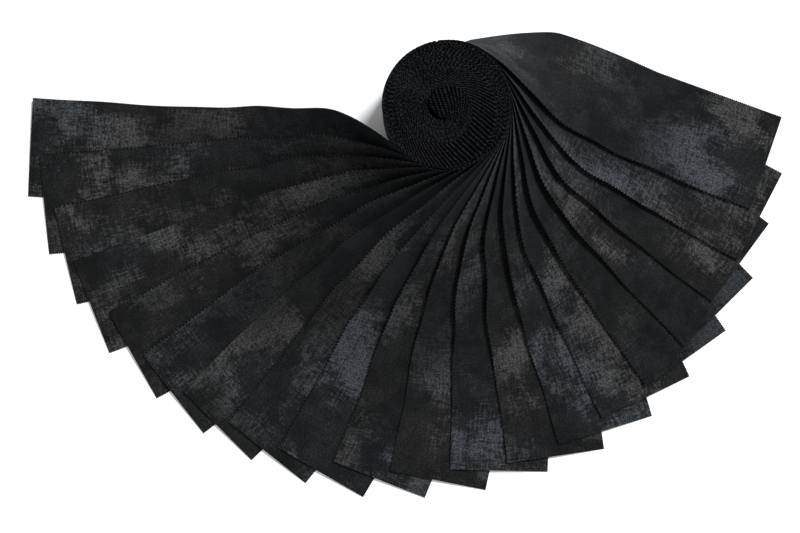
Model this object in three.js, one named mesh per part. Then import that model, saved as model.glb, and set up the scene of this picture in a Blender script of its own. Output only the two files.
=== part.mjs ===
// A jelly roll of quilting cotton: twenty strips, each folded in half across its length and laid in one pile,
// wound into a roll that stands on its pinked edges. The last stretch of every strip is loose. It leaves the
// roll standing on edge, leans over and lies down, so the loose ends are fanned over the table.
//
// Millimetres, +Z up. The origin is the roll's axis on the table. Clock angles are degrees clockwise from +Y,
// seen from above. Headings are degrees clockwise from +X.

import * as THREE from "three";

// The strips
const WIDTH = 63.5; // cut 2 1/2 inches wide, which is also the roll's height
const SHEET = 1; // thickness of a doubled strip as one solid sheet
const BOW = 2.5; // how far a leaning strip bellies out between its two edges

// The roll
const PILE = 15.8; // thickness of the pile of doubled strips, which is the spiral's pitch
const SEAM = 0.6; // the dark line that shows between two turns
const FIRST_OFF = 0; // clock angle where the outermost strip has left the roll
const LAST_OFF = 240; // clock angle where the innermost strip has left it
const OUTER_RADIUS = 40.4; // the roll's outside at FIRST_OFF, with the whole pile on it
const INNER_RADIUS = 35.2; // and at LAST_OFF, with none of the outer turn left
const HUG = 2.3; // how far the strips that are leaving thicken the roll where they still lie tight to it
const HUG_FROM = 30; // clock angle from which they do
const EYE_RADIUS = 3; // where the winding's inner face starts, left of the axis, which itself is on cloth
const CORE_TURN = 230; // degrees of the pile's own end, curled up inside the first turn
const TIP = 20; // degrees by which the outer turn stops short of LAST_OFF

// The fan
const LOOSE = 3.2; // a strip's own sheet begins where its upper edge is this far off the roll
const SETTLE_FROM = 110; // where along a strip it starts to settle flat
const SETTLE_LENGTH = 100; // and over what length
const FIRST_SPREAD = 60; // from here on the strips lie over one another like tiles
const FAN_STEP = 0.132; // radians between neighbouring strips, the narrowest pair
const LAYER = 1.86; // what each strip lies above the one under it
const RISE_FROM = 70; // where along a strip its free edge starts to be propped up
const RISE_LENGTH = 170; // and over what length

// One row for each strip, from the lowest to the uppermost.
// heading: the direction of its straight end
// aside:   how far its left-hand edge's straight line passes from the roll's axis
// reach:   how far along that line its folded end lies
// turn:    how far it swings from the tangent on which it leaves the roll to its heading
// half:    how far along it has fallen half way, from upright to lying down
// haste:   how quickly it falls there
// rise:    mm by which its free edge is propped up half way, over what lies under it
const STRIPS = [
  { heading: 183.5, aside: 65.5, reach: 258.5, turn: 15, half: 53.5, haste: 2.2, rise: 0 },
  { heading: 175.1, aside: 64.5, reach: 255, turn: 15, half: 60, haste: 1.95, rise: 0 },
  { heading: 167.5, aside: 65, reach: 251, turn: 15, half: 66, haste: 1.8, rise: 0 },
  { heading: 159.5, aside: 66, reach: 249, turn: 15, half: 70.5, haste: 1.7, rise: 0 },
  { heading: 151.5, aside: 70, reach: 243, turn: 16, half: 74, haste: 1.68, rise: 0 },
  { heading: 142.8, aside: 68, reach: 240.5, turn: 16, half: 76, haste: 1.7, rise: 0 },
  { heading: 135.8, aside: 72, reach: 237, turn: 17, half: 77.5, haste: 1.75, rise: 0 },
  { heading: 129, aside: 79, reach: 233.5, turn: 18, half: 79, haste: 1.85, rise: 0 },
  { heading: 120.6, aside: 80, reach: 231.5, turn: 18, half: 79.5, haste: 1.95, rise: 0 },
  { heading: 112, aside: 81, reach: 226.5, turn: 18, half: 78.5, haste: 2.03, rise: 0 },
  { heading: 101.8, aside: 76.5, reach: 224.5, turn: 17, half: 76, haste: 2.1, rise: 0 },
  { heading: 91.7, aside: 75, reach: 221.5, turn: 16, half: 73.5, haste: 2.14, rise: 0 },
  { heading: 82, aside: 74, reach: 221.5, turn: 16, half: 71, haste: 2.16, rise: 0 },
  { heading: 73.5, aside: 75.5, reach: 218.5, turn: 16, half: 69.5, haste: 2.19, rise: 0 },
  { heading: 65, aside: 74.5, reach: 214.5, turn: 16, half: 67.5, haste: 2.25, rise: 0 },
  { heading: 55.4, aside: 73, reach: 213, turn: 16, half: 66.5, haste: 2.28, rise: 0 },
  { heading: 46, aside: 73, reach: 210, turn: 16, half: 65.5, haste: 2.3, rise: 0 },
  { heading: 37, aside: 73, reach: 206, turn: 17, half: 64.5, haste: 2.36, rise: 2 },
  { heading: 28.2, aside: 72.5, reach: 207, turn: 18.5, half: 63.5, haste: 2.45, rise: 5 },
  { heading: 19.8, aside: 75, reach: 203, turn: 25, half: 63, haste: 2.6, rise: 11 },
];

const cotton = { roughness: 0.92, metalness: 0 };
const STRIP_COLOURS = ["#212125", "#26262a", "#1d1e22"];
const ROLL_COLOUR = "#18181b";

const radians = THREE.MathUtils.degToRad;
const fromClock = (clock) => new THREE.Vector2(Math.sin(radians(clock)), Math.cos(radians(clock)));
const along = (heading) => new THREE.Vector2(Math.cos(radians(heading)), -Math.sin(radians(heading)));

// The roll's outside, which grows again as the strips join it one after another.
function outline(clock) {
  const c = THREE.MathUtils.euclideanModulo(clock, 360);
  const span = LAST_OFF - FIRST_OFF;
  const grown = c <= LAST_OFF ? 1 - (c - FIRST_OFF) / span : (c - LAST_OFF) / (360 - span);
  return THREE.MathUtils.lerp(INNER_RADIUS, OUTER_RADIUS, grown);
}

// One spiral band, as thick as the pile, that thins out where the strips leave its outer turn. At the centre
// the pile's end is curled up and leaves a small eye.
function rollGeometry() {
  const innerFace = (clock) => INNER_RADIUS - (PILE * (LAST_OFF - clock)) / 360;
  const outerFace = (clock) => {
    const hug = HUG * THREE.MathUtils.clamp((clock - FIRST_OFF) / (HUG_FROM - FIRST_OFF), 0, 1);
    return Math.min(innerFace(clock + 360) - SEAM, outline(clock) + hug);
  };
  const first = LAST_OFF - TIP;
  const last = LAST_OFF - (360 * (INNER_RADIUS - EYE_RADIUS)) / PILE;
  const face = (radiusAt, end) => {
    const steps = Math.round((first - end) / 7.5);
    return Array.from({ length: steps + 1 }, (_, i) => {
      const clock = THREE.MathUtils.lerp(first, end, i / steps);
      return fromClock(clock).multiplyScalar(radiusAt(clock));
    });
  };
  const band = new THREE.Shape([...face(outerFace, last - CORE_TURN), ...face(innerFace, last).reverse()]);
  return new THREE.ExtrudeGeometry(band, { depth: WIDTH, steps: 1, bevelEnabled: false });
}

// The left-hand edge of a strip on the table: straight off the roll, one easy bend, straight to the folded end.
function baseEdge({ heading, aside, reach, turn }) {
  const leave = heading - turn;
  const out = along(leave);
  const end = along(heading);
  const start = fromClock(leave).multiplyScalar(outline(leave));
  const corner = fromClock(heading).multiplyScalar(aside).addScaledVector(end, reach);
  const before = (aside - start.length() * Math.cos(radians(turn))) / Math.sin(radians(turn));
  const bend = start.clone().addScaledVector(out, before);
  const after = corner.distanceTo(bend);
  const easing = 0.6 * before;
  const first = bend.clone().addScaledVector(out, -easing);
  const last = bend.clone().addScaledVector(end, Math.min(easing, 0.7 * after));
  const path = new THREE.CurvePath();
  path.add(new THREE.LineCurve(start, first));
  path.add(new THREE.QuadraticBezierCurve(first, bend, last));
  path.add(new THREE.LineCurve(last, corner));
  return path;
}

// The middle surface of a strip and its normal, s mm from the roll and across (0 to 1) its width.
function stripSurface(strip) {
  const path = baseEdge(strip);
  const length = path.getLength();
  const slopeAt = (s) => {
    const tiled = LAYER / (FAN_STEP * Math.max(s, FIRST_SPREAD));
    const over = THREE.MathUtils.clamp((s - RISE_FROM) / RISE_LENGTH, 0, 1);
    return Math.atan(tiled + (strip.rise / WIDTH) * Math.sin(Math.PI * over) ** 2);
  };
  const at = (s, across) => {
    const here = path.getPointAt(Math.min(s / length, 1));
    const ahead = path.getPointAt(Math.min((s + 0.5) / length, 1));
    const behind = path.getPointAt(Math.max((s - 0.5) / length, 0));
    const forward = ahead.sub(behind).normalize();
    const right = new THREE.Vector2(forward.y, -forward.x);
    const settled = THREE.MathUtils.smoothstep(s, SETTLE_FROM, SETTLE_FROM + SETTLE_LENGTH);
    const upright = (1 - settled) / (1 + (s / strip.half) ** strip.haste);
    const fallen = (Math.PI / 2 - slopeAt(s)) * (1 - upright);
    const sin = Math.sin(fallen);
    const cos = Math.cos(fallen);
    const up = new THREE.Vector3(-right.x * cos, -right.y * cos, sin);
    const bow = BOW * Math.sin(2 * fallen) * Math.sin(Math.PI * across);
    return new THREE.Vector3(here.x, here.y, (SHEET / 2) * sin)
      .add(new THREE.Vector3(right.x * sin, right.y * sin, cos).multiplyScalar(WIDTH * across))
      .addScaledVector(up, bow);
  };
  const normalAt = (s, across) => {
    const lengthwise = at(Math.min(s + 1, length), across).sub(at(Math.min(s + 1, length) - 2, across));
    const crosswise = at(s, across + 0.02).sub(at(s, across - 0.02));
    return crosswise.cross(lengthwise).normalize();
  };
  // The upper edge's distance off the roll, from which the start of the loose sheet is found.
  const offRoll = (s) => {
    const { x, y } = at(s, 1);
    return Math.hypot(x, y) - outline(THREE.MathUtils.radToDeg(Math.atan2(x, y)));
  };
  let start = 0;
  while (offRoll(start) < LOOSE) {
    start += 0.5;
  }
  return { at, normalAt, start, length };
}

// A closed sheet: two faces half a thickness either side of the middle surface, and the rim between them.
function stripGeometry(strip) {
  const surface = stripSurface(strip);
  const twisting = 15;
  const lying = 6;
  const settled = SETTLE_FROM + SETTLE_LENGTH;
  const stations = [];
  for (let i = 0; i < twisting; i++) {
    stations.push(THREE.MathUtils.lerp(surface.start, settled, i / twisting));
  }
  for (let i = 0; i <= lying; i++) {
    stations.push(THREE.MathUtils.lerp(settled, surface.length, i / lying));
  }
  const columns = 4;
  const points = [];
  for (const side of [1, -1]) {
    for (const s of stations) {
      for (let j = 0; j <= columns; j++) {
        const across = j / columns;
        const point = surface.at(s, across).addScaledVector(surface.normalAt(s, across), (side * SHEET) / 2);
        const onTable = j === 0 && side === -1;
        points.push(onTable ? point.setZ(0) : point);
      }
    }
  }
  return closedSheet(points, stations.length, columns + 1);
}

// Joins two grids of the same size, upper first, into one closed surface that faces out.
function closedSheet(points, rows, columns) {
  const faces = [];
  const upper = (i, j) => i * columns + j;
  const lower = (i, j) => rows * columns + i * columns + j;
  const quad = (a, b, c, d) => faces.push(a, b, c, a, c, d);
  for (let i = 0; i + 1 < rows; i++) {
    for (let j = 0; j + 1 < columns; j++) {
      quad(upper(i, j), upper(i, j + 1), upper(i + 1, j + 1), upper(i + 1, j));
      quad(lower(i, j), lower(i + 1, j), lower(i + 1, j + 1), lower(i, j + 1));
    }
    quad(upper(i, 0), upper(i + 1, 0), lower(i + 1, 0), lower(i, 0));
    quad(upper(i, columns - 1), lower(i, columns - 1), lower(i + 1, columns - 1), upper(i + 1, columns - 1));
  }
  for (let j = 0; j + 1 < columns; j++) {
    quad(upper(0, j), lower(0, j), lower(0, j + 1), upper(0, j + 1));
    quad(upper(rows - 1, j), upper(rows - 1, j + 1), lower(rows - 1, j + 1), lower(rows - 1, j));
  }
  const geometry = new THREE.BufferGeometry().setFromPoints(points);
  geometry.setIndex(faces);
  geometry.computeVertexNormals();
  return geometry;
}

function mesh(name, geometry, color) {
  const made = new THREE.Mesh(geometry, new THREE.MeshStandardMaterial({ color, ...cotton }));
  made.name = name;
  return made;
}

const group = new THREE.Group();
group.add(mesh("roll", rollGeometry(), ROLL_COLOUR));
STRIPS.forEach((strip, i) => {
  const name = `strip_${String(i + 1).padStart(2, "0")}`;
  group.add(mesh(name, stripGeometry(strip), STRIP_COLOURS[i % STRIP_COLOURS.length]));
});

export default group;
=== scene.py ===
import math

import bpy
import numpy as np
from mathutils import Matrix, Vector


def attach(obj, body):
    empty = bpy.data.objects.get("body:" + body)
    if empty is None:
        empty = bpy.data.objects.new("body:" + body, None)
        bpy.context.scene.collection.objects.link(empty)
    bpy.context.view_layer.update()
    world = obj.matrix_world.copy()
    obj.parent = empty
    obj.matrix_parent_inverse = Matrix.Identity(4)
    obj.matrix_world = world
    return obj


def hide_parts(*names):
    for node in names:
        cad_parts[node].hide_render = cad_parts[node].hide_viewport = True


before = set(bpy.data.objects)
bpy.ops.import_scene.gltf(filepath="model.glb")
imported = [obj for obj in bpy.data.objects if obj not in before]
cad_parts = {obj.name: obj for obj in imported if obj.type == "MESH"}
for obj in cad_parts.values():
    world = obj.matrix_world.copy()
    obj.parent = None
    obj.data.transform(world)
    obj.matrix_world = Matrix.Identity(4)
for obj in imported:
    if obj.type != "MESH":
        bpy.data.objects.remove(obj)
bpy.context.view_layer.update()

# The table and the view
# A white table under a large soft lamp that hangs to the right of the fan and behind it. The camera looks
# straight down from 0.9 m, over the middle of the fan, and takes in 508 mm of the table from side to side.
VIEW_MIDDLE = (-0.026, -0.0935)
VIEW_HEIGHT = 0.9
VIEW_WIDTH = 0.508
TABLE_REACH = 6.0


def plain_finish(name, colour, roughness):
    finish = bpy.data.materials.new(name)
    finish.use_nodes = True
    shader = finish.node_tree.nodes["Principled BSDF"]
    shader.inputs["Base Color"].default_value = (*colour, 1)
    shader.inputs["Roughness"].default_value = roughness
    return finish


def piece_from(name, points, faces):
    mesh = bpy.data.meshes.new(name)
    mesh.from_pydata([tuple(p) for p in points], [], faces)
    piece = bpy.data.objects.new(name, mesh)
    bpy.context.scene.collection.objects.link(piece)
    return piece


def soft_lamp(name, place, size, power, target=(0, -0.09, 0)):
    lamp = bpy.data.lights.new(name, "AREA")
    lamp.shape = "DISK"
    lamp.size = size
    lamp.energy = power
    lamp.color = (0.94, 0.97, 1)
    holder = bpy.data.objects.new(name, lamp)
    bpy.context.scene.collection.objects.link(holder)
    holder.location = place
    holder.rotation_euler = (Vector(target) - Vector(place)).to_track_quat("-Z", "Y").to_euler()
    return holder


eye = bpy.data.cameras.new("camera")
eye.sensor_width = 36
eye.lens = eye.sensor_width * VIEW_HEIGHT / VIEW_WIDTH
camera = bpy.data.objects.new("camera", eye)
camera.location = (*VIEW_MIDDLE, VIEW_HEIGHT)
bpy.context.scene.collection.objects.link(camera)
bpy.context.scene.camera = camera

corners = [(x * TABLE_REACH, y * TABLE_REACH, 0) for x, y in ((-1, -1), (1, -1), (1, 1), (-1, 1))]
table = piece_from("table", corners, [(0, 1, 2, 3)])
table.data.materials.append(plain_finish("white_table", (0.86, 0.86, 0.86), 0.7))
bpy.context.scene.view_settings.view_transform = "Standard"

world = bpy.data.worlds.new("studio")
bpy.context.scene.world = world
world.use_nodes = True
world.node_tree.nodes["Background"].inputs["Color"].default_value = (1, 1, 1, 1)
world.node_tree.nodes["Background"].inputs["Strength"].default_value = 0.68
soft_lamp("window", (1.20, 1.45, 2.8), 0.7, 150)


# The cotton
# Plain-woven quilting cotton, printed in charcoal that looks dry-brushed: near black, with paler smoky
# patches that break up into grain and threads. Matt, with the faint bloom of brushed cotton.
WIDTH = 0.0635
THREAD_PITCH = 0.0005
# Painted light and shade on the roll's standing top edges: from SHADE_TO up to TIP_SHADE_FROM the cloth is
# painted black, painted shade in the valleys between the teeth; from TIP_SHADE_FROM up, the points of the
# teeth get a flecked painted highlight.
TIP_SHADE_FROM = WIDTH - 0.0009
TIP_SHADE_TO = WIDTH - 0.00005
SHADE_FROM = WIDTH - 0.0023
SHADE_TO = WIDTH - 0.0017
# How far in from its edges, and from the fold on, the lower ply is painted black: painted shade for the dark
# gaps seen between the upper ply's teeth.
EDGE_PAINTED_SHADE = (0.0012, 0.0034)
FOLD_PAINTED_SHADE = (0.0002, 0.0012)


class Socket:
    """One output of a shader node, with the arithmetic that the cloth's finish needs."""

    def __init__(self, tree, link):
        self.tree = tree
        self.link = link

    def maths(self, operation, *others, swap=False):
        terms = [self, *others]
        if swap:
            terms.reverse()
        return self.node("ShaderNodeMath", {"operation": operation}, dict(enumerate(terms)))

    def node(self, kind, settings, inputs, output=0):
        """Adds a node, makes its settings, then fills its sockets with links or values."""
        made = self.tree.nodes.new(kind)
        for key, value in settings.items():
            setattr(made, key, value)
        for key, value in inputs.items():
            if isinstance(value, Socket):
                self.tree.links.new(value.link, made.inputs[key])
            else:
                made.inputs[key].default_value = value
        return Socket(self.tree, made.outputs[output])

    def __add__(self, other):
        return self.maths("ADD", other)

    def __sub__(self, other):
        return self.maths("SUBTRACT", other)

    def __rsub__(self, other):
        return self.maths("SUBTRACT", other, swap=True)

    def __mul__(self, other):
        return self.maths("MULTIPLY", other)

    __radd__ = __add__
    __rmul__ = __mul__

    def stretched(self, x, y, z):
        """A vector, scaled along its three ways."""
        return self.node("ShaderNodeVectorMath", {"operation": "MULTIPLY"}, {0: self, 1: (x, y, z)})

    def noise(self, scale, detail=2.0, roughness=0.5, distortion=0.0):
        inputs = {"Vector": self, "Scale": scale, "Detail": detail, "Roughness": roughness}
        return self.node("ShaderNodeTexNoise", {}, {**inputs, "Distortion": distortion})

    def step(self, low, high):
        """0 below low, 1 above high, and soft between them."""
        limits = {"Value": self, "From Min": low, "From Max": high}
        return self.node("ShaderNodeMapRange", {"interpolation_type": "SMOOTHSTEP"}, limits)

    def mix(self, first, second):
        """A colour between two others, with this as the share of the second."""
        return self.node("ShaderNodeMix", {"data_type": "RGBA"}, {0: self, 6: first, 7: second}, output=2)


def printed_cotton(name, base, pale_share, paints_rim_light_and_shade):
    """The printed cloth. Its coordinates are the piece's own: metres along, metres across, and the strip.
    With the flag for the roll set, the standing top edges of the wound pile get painted shade, black between
    their teeth, and a flecked painted highlight on the points of the teeth. Without it, the lower ply gets
    painted shade, black near its long edges from the fold on, for the dark gaps between the upper ply's
    teeth."""
    finish = bpy.data.materials.new(name)
    finish.use_nodes = True
    tree = finish.node_tree
    shader = tree.nodes["Principled BSDF"]
    start = Socket(tree, shader.outputs[0])
    cloth = start.node("ShaderNodeAttribute", {"attribute_name": "cloth"}, {}, output=1)
    along = cloth.stretched(150, 700, 9).noise(1, 2, 0.65).step(0.36, 0.64)
    across = cloth.stretched(700, 150, 5).noise(1, 2, 0.65).step(0.36, 0.64)
    grain = cloth.stretched(1, 1, 3).noise(900, 3, 0.75).step(0.30, 0.70)
    hatch = along.maths("MAXIMUM", across) * 0.45 + grain * 0.55
    patch = cloth.stretched(1, 1.2, 1).noise(18, 2.5, 0.6, 0.2) + (along + across) * 0.075
    cloud = cloth.stretched(1.1, 1, 1.7).noise(9, 1, 0.5).step(0.36, 0.62)
    dabbed = patch.step(0.55, 0.72) * (cloud * 0.75 + 0.25)
    mottle = cloth.stretched(1, 1, 1.9).noise(62, 3, 0.6).step(0.34, 0.66)
    brushed = dabbed * (grain * hatch * 0.95 + hatch * 0.10 + 0.08)
    pale = (brushed + hatch * grain * (cloud * 0.10 + mottle * 0.15)) * pale_share
    tone = cloth.stretched(1, 1, 2.3).noise(11, 1, 0.5).step(0.42, 0.62)
    cool = (0.057, 0.064, 0.071, 1)
    warm = (0.063, 0.061, 0.058, 1)
    light = tone.mix(warm, cool)
    dark, bright = [tuple(k * c for c in base) + (1,) for k in (0.55, 1.45)]
    ground = (grain * 0.4 + hatch * 0.25 + mottle * 0.35).mix(dark, bright)
    colour = pale.maths("MINIMUM", 1.0).mix(ground, light)
    # Black for painted shade: in the valleys of the roll's top edges and in the gaps between the loose ends'
    # teeth.
    black = (0.0003, 0.0003, 0.0004, 1)
    if paints_rim_light_and_shade:
        # Painted shade and light on the roll's top edges: black in the valleys between the teeth, a flecked
        # painted highlight on the points of the teeth.
        place = start.node("ShaderNodeTexCoord", {}, {}, output=3)
        height = place.node("ShaderNodeSeparateXYZ", {}, {0: place}, output=2)
        speck = place.stretched(1, 1, 0.2).noise(620, 2, 0.7).step(0.36, 0.66)
        painted_tip_light = height.step(TIP_SHADE_FROM, TIP_SHADE_TO) * (speck * 0.9 + 0.28)
        painted_rim_light_and_shade = painted_tip_light.mix(black, (0.0350, 0.0360, 0.0395, 1))
        colour = height.step(SHADE_FROM, SHADE_TO).mix(colour, painted_rim_light_and_shade)
    else:
        # Painted shade: the lower ply is painted black near its long edges, from the fold on, where the
        # upper ply's teeth leave dark gaps.
        position = cloth.node("ShaderNodeSeparateXYZ", {}, {0: cloth}, output=1)
        unrolled = cloth.node("ShaderNodeSeparateXYZ", {}, {0: cloth}, output=0)
        margin = position.maths("MINIMUM", WIDTH - position)
        painted_gap_shade = (1 - margin.step(*EDGE_PAINTED_SHADE)) * unrolled.step(*FOLD_PAINTED_SHADE)
        colour = painted_gap_shade.mix(colour, black)
    tree.links.new(colour.link, shader.inputs["Base Color"])
    weave = 2 * math.pi / THREAD_PITCH
    warp = cloth.stretched(weave, weave, 0)
    thread_x = warp.node("ShaderNodeSeparateXYZ", {}, {0: warp}, output=0).maths("SINE")
    thread_y = warp.node("ShaderNodeSeparateXYZ", {}, {0: warp}, output=1).maths("SINE")
    height = thread_x * thread_y * 0.4 + grain + pale * 0.3
    bump = height.node("ShaderNodeBump", {}, {"Strength": 0.5, "Distance": 0.00012, "Height": height})
    tree.links.new(bump.link, shader.inputs["Normal"])
    shader.inputs["Roughness"].default_value = 0.88
    shader.inputs["Specular IOR Level"].default_value = 0.04
    shader.inputs["Sheen Weight"].default_value = 0.03
    shader.inputs["Sheen Roughness"].default_value = 0.5
    shader.inputs["Sheen Tint"].default_value = (0.75, 0.86, 1, 1)
    return finish


STRIP_COTTON = printed_cotton("strip_cotton", (0.0053, 0.0054, 0.0056), 1.0, False)
ROLL_COTTON = printed_cotton("roll_cotton", (0.0053, 0.0054, 0.0057), 0.5, True)

# The pinked edges
# Every strip's two long edges are cut with pinking blades, so that the weave can't run out: one tooth each
# 2.65 mm, 1.4 mm deep. The same cut, and the cloth's thickness, serve the wound pile and the loose ends.
TOOTH = 0.00265
TOOTH_DEPTH = 0.0014
CLOTH = 0.00028


def cut_and_thicken(piece, finish, thickness):
    """Cuts the teeth into a thin open sheet and gives it the cloth's thickness, outwards."""
    tree = bpy.data.node_groups.get("pinking")
    if tree is None:
        tree = bpy.data.node_groups.new("pinking", "GeometryNodeTree")
        face = tree.interface
        face.new_socket("Cloth", in_out="INPUT", socket_type="NodeSocketGeometry")
        for label in ("Tooth pitch", "Tooth depth", "Thickness"):
            face.new_socket(label, in_out="INPUT", socket_type="NodeSocketFloat")
        face.new_socket("Finish", in_out="INPUT", socket_type="NodeSocketMaterial")
        face.new_socket("Cut cloth", in_out="OUTPUT", socket_type="NodeSocketGeometry")

        def add(kind, links=None, output=0, **settings):
            node = tree.nodes.new(kind)
            for key, value in settings.items():
                setattr(node, key, value)
            for socket, value in (links or {}).items():
                if hasattr(value, "is_output"):
                    tree.links.new(value, node.inputs[socket])
                else:
                    node.inputs[socket].default_value = value
            return node.outputs[output]

        given = tree.nodes.new("NodeGroupInput").outputs
        station = add("GeometryNodeInputNamedAttribute", {"Name": "station"}, data_type="FLOAT")
        inward = add("GeometryNodeInputNamedAttribute", {"Name": "inward"}, data_type="FLOAT_VECTOR")
        half = add("ShaderNodeMath", {0: given["Tooth pitch"], 1: 0.5}, operation="MULTIPLY")
        ramp = add("ShaderNodeMath", {0: station, 1: half}, operation="PINGPONG")
        share = add("ShaderNodeMath", {0: ramp, 1: half}, operation="DIVIDE")
        depth = add("ShaderNodeMath", {0: share, 1: given["Tooth depth"]}, operation="MULTIPLY")
        shift = add("ShaderNodeVectorMath", {0: inward, "Scale": depth}, operation="SCALE")
        toothed = add("GeometryNodeSetPosition", {"Geometry": given["Cloth"], "Offset": shift})
        outer = add("GeometryNodeExtrudeMesh",
                    {"Mesh": toothed, "Offset Scale": given["Thickness"], "Individual": False})
        inner = add("GeometryNodeFlipFaces", {"Mesh": toothed})
        both = tree.nodes.new("GeometryNodeJoinGeometry")
        tree.links.new(inner, both.inputs[0])
        tree.links.new(outer, both.inputs[0])
        closed = add("GeometryNodeMergeByDistance", {"Geometry": both.outputs[0], "Distance": 0.000002})
        plain = add("GeometryNodeRealizeInstances", {"Geometry": closed})
        dressed = add("GeometryNodeSetMaterial", {"Geometry": plain, "Material": given["Finish"]})
        result = tree.nodes.new("NodeGroupOutput")
        tree.links.new(dressed, result.inputs[0])
    cut = piece.modifiers.new("pinking", "NODES")
    cut.node_group = tree
    sizes = {"Tooth pitch": TOOTH, "Tooth depth": TOOTH_DEPTH, "Thickness": thickness, "Finish": finish}
    for socket in tree.interface.items_tree:
        if socket.in_out == "INPUT" and socket.name in sizes:
            cut[socket.identifier] = sizes[socket.name]
    finished = bpy.data.meshes.new_from_object(piece.evaluated_get(bpy.context.evaluated_depsgraph_get()))
    piece.modifiers.remove(cut)
    finished.name = piece.name
    piece.data = finished
    finished.shade_smooth()
    finished.set_sharp_from_angle(angle=math.radians(35))


def sheet_piece(name, grids):
    """One piece from grids of cloth: points (rows along, columns across), stations, inward and cloth."""
    points, faces, stations, inwards, cloths = [], [], [], [], []
    for grid in grids:
        rows, columns = grid["points"].shape[:2]
        first = sum(len(p) for p in points)
        index = first + np.arange(rows * columns).reshape(rows, columns)
        quads = np.stack([index[:-1, :-1], index[:-1, 1:], index[1:, 1:], index[1:, :-1]], axis=-1)
        points.append(grid["points"].reshape(-1, 3))
        faces.append(quads.reshape(-1, 4))
        stations.append(np.repeat(grid["stations"], columns))
        inwards.append(grid["inward"].reshape(-1, 3))
        cloths.append(grid["cloth"].reshape(-1, 3))
    piece = piece_from(name, np.concatenate(points), np.concatenate(faces).tolist())
    for label, kind, values in (
        ("station", "FLOAT", np.concatenate(stations)),
        ("inward", "FLOAT_VECTOR", np.concatenate(inwards)),
        ("cloth", "FLOAT_VECTOR", np.concatenate(cloths)),
    ):
        layer = piece.data.attributes.new(label, kind, "POINT")
        field = "value" if kind == "FLOAT" else "vector"
        layer.data.foreach_set(field, np.ascontiguousarray(values, np.float32).ravel())
    return piece


# The wound pile
# Twenty strips of cotton, each folded in half across its length, lie in one pile and are wound together
# into a roll that stands on its pinked edges. One after another the strips leave its outer turn.
PILE = 0.0133
STRIPS = 20
OUTER_RADIUS = 0.0404
INNER_RADIUS = 0.0352
LAST_OFF = 240
CORE_FOOT = -540
TIGHTEST_BEND = 0.0009
TEETH_IN_LINE = -228
TEETH_SLIP = 0.00071
STATION_RANGE = (-300, 320)
CUT_UNEVEN = 0.04
LAYER_STRAY = 0.34
TOOTH_STRAY = 0.20
STRAY_FROM = 0.035
STRAY_LENGTH = 0.040
VOID_LEFT = -0.009
VOID_TOP = 0.001
VOID_SLANT = 1.03
CORE_CLEARANCE = 0.0004
PACKED_CLOTH = 0.00034
EDGE_ROW = 0.003
RIM_DROP = 0.0002
# Height and length of the small ripples that run round each layer, in metres.
RIPPLES = [(0.00004, 0.011), (0.00003, 0.0043)]
# How unevenly the layers stand: as a whole, in a long wave (height and length), and tooth by tooth.
LAYER_LIFT = (-0.00010, 0.00008)
LIFT_WAVE = (0.00010, 0.017)
TOOTH_LIFT = 0.00016
# Each strip, from the lowest to the uppermost: its heading, how far aside of the axis it points, its reach,
# its turn from where it leaves, how far out it is half fallen, how sharply it falls (haste), and how high
# its free edge stands midway (rise). Headings and turns are in degrees, haste has no unit, and the rest is
# in millimetres.
FAN = [
    (183.5, 65.5, 258.5, 15, 49.5, 2.6, 0),
    (175.1, 64.5, 255, 15, 60, 1.95, 0),
    (167.5, 65, 251, 15, 66, 1.8, 0),
    (159.5, 66, 249, 15, 70.5, 1.7, 0),
    (151.5, 70, 243, 16, 74, 1.68, 0),
    (142.8, 68, 240.5, 16, 76, 1.7, 0),
    (135.8, 72, 237, 17, 77.5, 1.75, 0),
    (129, 79, 233.5, 18, 79, 1.85, 0),
    (120.6, 80, 231.5, 18, 79.5, 1.95, 0),
    (112, 81, 226.5, 18, 78.5, 2.03, 0),
    (101.8, 76.5, 224.5, 17, 76, 2.1, 0),
    (91.7, 75, 221.5, 16, 73.5, 2.14, 0),
    (82, 74, 221.5, 16, 71, 2.16, 0),
    (73.5, 75.5, 218.5, 16, 69.5, 2.19, 0),
    (65, 74.5, 214.5, 16, 67.5, 2.25, 0),
    (55.4, 73, 213, 16, 66.5, 2.28, 0),
    (46, 73, 210, 16, 65.5, 2.3, 0),
    (37, 73, 206, 17, 64.5, 2.36, 1),
    (28.2, 72.5, 207, 18.5, 63.5, 2.45, 3),
    (19.8, 75, 203, 25, 63, 2.6, 6),
]
LEAVES = [row[0] - row[3] for row in FAN]
uneven = np.random.default_rng(20)


def from_clock(clock):
    """The way that a clock angle points, seen from above: degrees clockwise from +Y."""
    turn = np.radians(clock)
    return np.stack([np.sin(turn), np.cos(turn)], axis=-1)


def along(heading):
    """The way of a heading: degrees clockwise from +X."""
    turn = np.radians(heading)
    return np.stack([np.cos(turn), -np.sin(turn)], axis=-1)


def outline(clock):
    """The roll's outside, which grows again as the strips join it one after another."""
    c = np.mod(clock, 360)
    grown = np.where(c <= LAST_OFF, 1 - c / LAST_OFF, (c - LAST_OFF) / (360 - LAST_OFF))
    return INNER_RADIUS + (OUTER_RADIUS - INNER_RADIUS) * grown


def smooth(x):
    x = np.clip(x, 0, 1)
    return x * x * (3 - 2 * x)


def inner_face(clock):
    """The winding's inner face, a little slacker on the side where the strips leave."""
    tight = INNER_RADIUS - PILE * (LAST_OFF - clock) / 360
    c = np.mod(clock, 360)
    whole = INNER_RADIUS - PILE * (LAST_OFF - c) / 360 + PILE * np.clip(1 - c / LEAVES[0], 0, 1)
    return tight * (1 + 0.5 * (outline(clock) / whole - 1))


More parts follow.
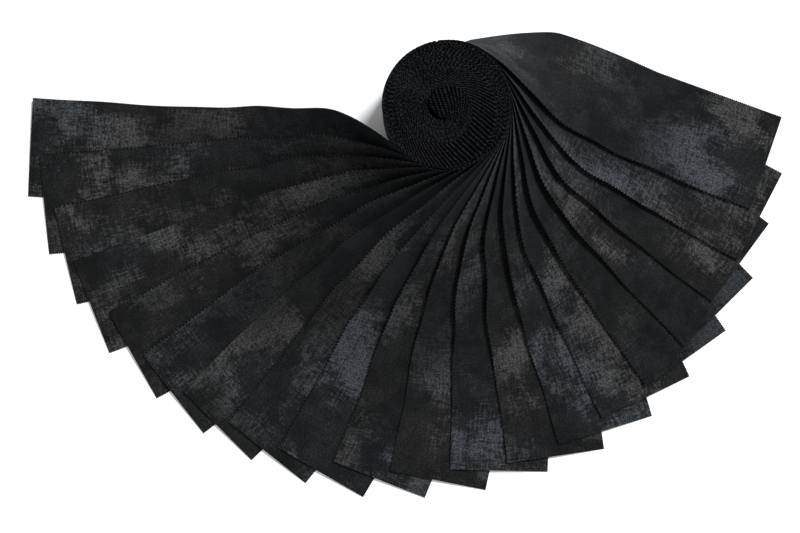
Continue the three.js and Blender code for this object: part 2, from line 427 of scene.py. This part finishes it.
def core_path(share):
    """A layer's way out of the core: straight from its cut end, then back under itself. Share is its place
    in the pile, 0 innermost and 1 outermost."""
    hinge = np.array([0, -inner_face(CORE_FOOT)])
    turn = np.arange(0, 180, 3)
    clock = np.arange(-362, -178)
    wall = from_clock(clock) * inner_face(clock)[:, None] - hinge
    way = np.mod(np.degrees(np.arctan2(wall[:, 0], wall[:, 1])) + 10, 360) - 10
    room = np.interp(turn, way, np.hypot(*wall.T))
    bend = hinge + from_clock(turn) * (room * share)[:, None]
    clock = np.arange(CORE_FOOT, -359)
    left = from_clock(clock) * inner_face(clock)[:, None]
    height = bend[0, 1]
    wall_end = np.interp(height, left[:, 1], left[:, 0]) + CORE_CLEARANCE
    end = max(wall_end, VOID_LEFT + VOID_SLANT * (VOID_TOP - height))
    straight = np.linspace([min(end, -CORE_CLEARANCE), height], bend[0], 24)[:-1]
    return np.concatenate([straight, bend])


def wound_layer(strip, side):
    """One layer of cloth on the roll, from its cut end in the core to where its strip leaves."""
    layer = 2 * strip + side
    leave = LEAVES[strip]
    clock = np.append(np.arange(CORE_FOOT, leave, 2.0), leave)
    outer = np.where(clock < LAST_OFF - 360, inner_face(clock + 360), outline(clock))
    still_wound = np.interp(clock, LEAVES[::-1], np.arange(STRIPS, 0, -1))
    share = (layer + 0.5) / 2 / still_wound
    radius = inner_face(clock) + np.minimum(share, 1) * (outer - inner_face(clock))
    path = from_clock(clock) * radius[:, None]
    if share[0] * PILE > TIGHTEST_BEND:
        path = np.concatenate([core_path(share[0]), path])
    length = np.concatenate([[0], np.cumsum(np.hypot(*np.diff(path, axis=0).T))])
    length -= np.interp(TEETH_IN_LINE, clock, length[-len(clock):])
    teeth = np.arange(*STATION_RANGE) * TOOTH / 2 + uneven.uniform(-CUT_UNEVEN, CUT_UNEVEN) * TOOTH
    slip = np.mod(layer * TEETH_SLIP + TOOTH / 2, TOOTH) - TOOTH / 2
    in_core = smooth((teeth / length[-len(clock)] - 0.5) / 0.45)
    strayed = uneven.uniform(-LAYER_STRAY, LAYER_STRAY)
    strayed = strayed + uneven.uniform(-TOOTH_STRAY, TOOTH_STRAY, len(teeth))
    strayed *= TOOTH * smooth((np.abs(teeth) - STRAY_FROM) / STRAY_LENGTH)
    where = teeth + strayed * (1 - in_core) - slip * in_core
    on_path = (where > length[0]) & (where < length[-1])
    where = where[on_path]
    plan = np.stack([np.interp(where, length, path[:, i]) for i in (0, 1)], axis=1)
    return plan, teeth[on_path]


grids = []
for strip in range(STRIPS):
    for side in range(2):
        plan, teeth = wound_layer(strip, side)
        sway = uneven.uniform(0, 2 * math.pi, 3)
        ripple = sum(tall * np.sin(teeth / long + at) for (tall, long), at in zip(RIPPLES, sway))
        lift = uneven.uniform(*LAYER_LIFT) + LIFT_WAVE[0] * np.sin(teeth / LIFT_WAVE[1] + sway[2])
        far = smooth((np.abs(teeth) - STRAY_FROM) / STRAY_LENGTH)
        lift += uneven.uniform(-TOOTH_LIFT, TOOTH_LIFT, len(teeth)) * far
        way = np.gradient(plan, axis=0)
        out = np.stack([-way[:, 1], way[:, 0]], axis=1) / np.hypot(*way.T)[:, None]
        plan = plan + out * ripple[:, None]
        flat = np.zeros(len(teeth))
        heights = [flat, flat + EDGE_ROW, WIDTH - EDGE_ROW + lift, WIDTH + lift - RIM_DROP]
        heights = np.stack(heights, axis=1)
        points = np.concatenate([np.repeat(plan[:, None], 4, axis=1), heights[..., None]], axis=2)
        if side == 0:
            points = points[:, ::-1]
        inward = np.zeros_like(points)
        inward[:, 0, 2] = 1 if side else -1
        inward[:, -1, 2] = -1 if side else 1
        cloth = np.stack([np.repeat(teeth[:, None], 4, axis=1), points[..., 2],
                          np.full(points.shape[:2], strip + 0.5 * side)], axis=2)
        grids.append({"points": points, "stations": teeth, "inward": inward, "cloth": cloth})
roll = sheet_piece("wound_pile", grids)
cut_and_thicken(roll, ROLL_COTTON, PACKED_CLOTH)
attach(roll, "root")
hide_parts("roll")

# The loose ends
# The outer stretch of each doubled strip, with its fold at the free end. It leaves the roll standing on its
# edge, leans over to the right and lies down, so that the strips cover one another like tiles.
SHEET = 0.001
BOW = 0.0025
SETTLE_FROM = 0.110
SETTLE_LENGTH = 0.100
FIRST_SPREAD = 0.060
FAN_STEP = 0.132
LAYER = 0.00186
RISE_FROM = 0.070
RISE_LENGTH = 0.170
PLY_GAP = 0.0002
# Height and length of the waves in each free edge, in metres.
WAVES = [(0.0007, 0.0085), (0.0006, 0.0155)]
WAVES_FROM = 0.035
WAVES_GROW = 0.03
CALM_FROM = 0.12
CALM_LENGTH = 0.06
CALM = 0.75
EASING = 0.6
PRINT_STEP = 0.37
SWING = 0.0118
SWING_OPENS = 0.025
SWING_AT_ONCE = 0.57
SWING_PEAK = 0.076
SWING_END = 0.145
SWING_ROUND = 0.05
ACROSS = np.array([0, 0.03, 0.13, 0.25, 0.38, 0.5, 0.62, 0.75, 0.87, 0.97, 1])
FOLD_STEPS = 4


def base_edge(strip):
    """The strip's left-hand edge on the table: places and the way ahead, at even steps of half a tooth."""
    heading, aside, reach, turn = FAN[strip][:4]
    leave = heading - turn
    out, end = along(leave), along(heading)
    start = from_clock(leave) * outline(leave)
    corner = from_clock(heading) * aside * 0.001 + end * reach * 0.001
    lead = math.radians(turn)
    before = (aside * 0.001 - outline(leave) * math.cos(lead)) / math.sin(lead)
    bend = start + out * before
    easing = EASING * before
    after = np.hypot(*(corner - bend))
    first = bend - out * easing
    last = bend + end * min(easing, 0.7 * after)
    q = np.linspace(0, 1, 200)[:, None]
    curve = (1 - q) ** 2 * first + 2 * q * (1 - q) * bend + q * q * last
    path = np.concatenate([start[None], curve, corner[None]])
    s = np.concatenate([[0], np.cumsum(np.hypot(*np.diff(path, axis=0).T))])
    count = round(s[-1] / (TOOTH / 2))
    stations = np.linspace(0, s[-1], count + 1)
    places = np.stack([np.interp(stations, s, path[:, i]) for i in (0, 1)], axis=1)
    fine = 0.0005
    ahead = np.stack([np.interp(stations + fine, s, path[:, i]) for i in (0, 1)], axis=1)
    behind = np.stack([np.interp(stations - fine, s, path[:, i]) for i in (0, 1)], axis=1)
    way = ahead - behind
    return stations, places, way / np.hypot(*way.T)[:, None]


def loose_surface(strip):
    """The middle surface between the strip's two plies, its normal and its way across. The uppermost strip's
    left-hand edge swings out beyond the roll before it lies down."""
    half, haste, rise = FAN[strip][4:]
    s, base, way = base_edge(strip)
    tiled = LAYER / (FAN_STEP * np.maximum(s, FIRST_SPREAD))
    over = np.clip((s - RISE_FROM) / RISE_LENGTH, 0, 1)
    slope = np.arctan(tiled + rise * 0.001 / WIDTH * np.sin(math.pi * over) ** 2)
    upright = (1 - smooth((s - SETTLE_FROM) / SETTLE_LENGTH)) / (1 + (s / (half * 0.001)) ** haste)
    fallen = (math.pi / 2 - slope) * (1 - upright)
    sin, cos = np.sin(fallen)[:, None], np.cos(fallen)[:, None]
    right = np.stack([way[:, 1], -way[:, 0]], axis=1)
    side = np.concatenate([right * sin, cos], axis=1)
    up = np.concatenate([-right * cos, sin], axis=1)
    belly = BOW * np.sin(2 * fallen)[:, None] * np.sin(math.pi * ACROSS)
    foot = np.concatenate([base, SHEET / 2 * sin], axis=1)
    points = foot[:, None] + side[:, None] * (WIDTH * ACROSS)[:, None] + up[:, None] * belly[..., None]
    sway = uneven.uniform(0, 2 * math.pi, 2)
    wave = sum(tall * np.sin(s / long + at) for (tall, long), at in zip(WAVES, sway))
    wave *= smooth((s - WAVES_FROM) / WAVES_GROW)
    wave *= 1 - CALM * smooth((s - CALM_FROM) / CALM_LENGTH)
    points += side[:, None] * (wave[:, None] * smooth(ACROSS))[..., None]
    if strip == STRIPS - 1:
        rising = SWING_AT_ONCE * smooth(s / SWING_OPENS) + (1 - SWING_AT_ONCE) * s / SWING_PEAK
        falling = np.clip((SWING_END - s) / (SWING_END - SWING_PEAK), 0, 2) ** 1.4
        nearest = np.exp(-rising / SWING_ROUND) + np.exp(-falling / SWING_ROUND)
        swing = np.maximum(-SWING * SWING_ROUND * np.log(nearest), 0)
        points[..., :2] -= right[:, None] * swing[:, None, None] * (1 - ACROSS)[:, None]
    lengthwise = np.gradient(points, axis=0)
    crosswise = np.gradient(points, axis=1)
    normal = np.cross(crosswise, lengthwise)
    return s, points, normal / np.linalg.norm(normal, axis=2, keepdims=True), side


def doubled(strip):
    """Both plies as one sheet: out along the upper ply, round the fold, back along the lower."""
    s, middle, down, side = loose_surface(strip)
    half = PLY_GAP / 2
    upper = middle - down * half
    lower = middle + down * half
    forward = middle[-1] - middle[-2]
    forward /= np.linalg.norm(forward, axis=1, keepdims=True)
    turns = np.linspace(-math.pi / 2, math.pi / 2, FOLD_STEPS + 1)[1:-1]
    fold = [middle[-1] + half * (math.cos(a) * forward + math.sin(a) * down[-1]) for a in turns]
    points = np.concatenate([upper, fold, lower[::-1]])
    spare = len(turns)
    stations = np.concatenate([s + TOOTH / 2, np.full(spare, s[-1]), s[::-1]])
    sides = np.concatenate([side, np.repeat(side[-1:], spare, axis=0), side[::-1]])
    inward = np.zeros_like(points)
    inward[:, 0] = sides
    inward[:, -1] = -sides
    unrolled = np.concatenate([s - s[-1], np.zeros(spare), (s[-1] - s[::-1])])
    cloth = np.stack([np.repeat(unrolled[:, None], len(ACROSS), axis=1),
                      np.repeat((WIDTH * ACROSS)[None], len(points), axis=0),
                      np.full(points.shape[:2], PRINT_STEP * (strip + 1))], axis=2)
    return {"points": points, "stations": stations, "inward": inward, "cloth": cloth}, s[-1]


for strip in range(STRIPS):
    grid, length = doubled(strip)
    number = strip + 1
    loose = sheet_piece(f"loose_end_{number:02d}", [grid])
    cut_and_thicken(loose, STRIP_COTTON, CLOTH)
    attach(loose, "root")
    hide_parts(f"strip_{number:02d}")
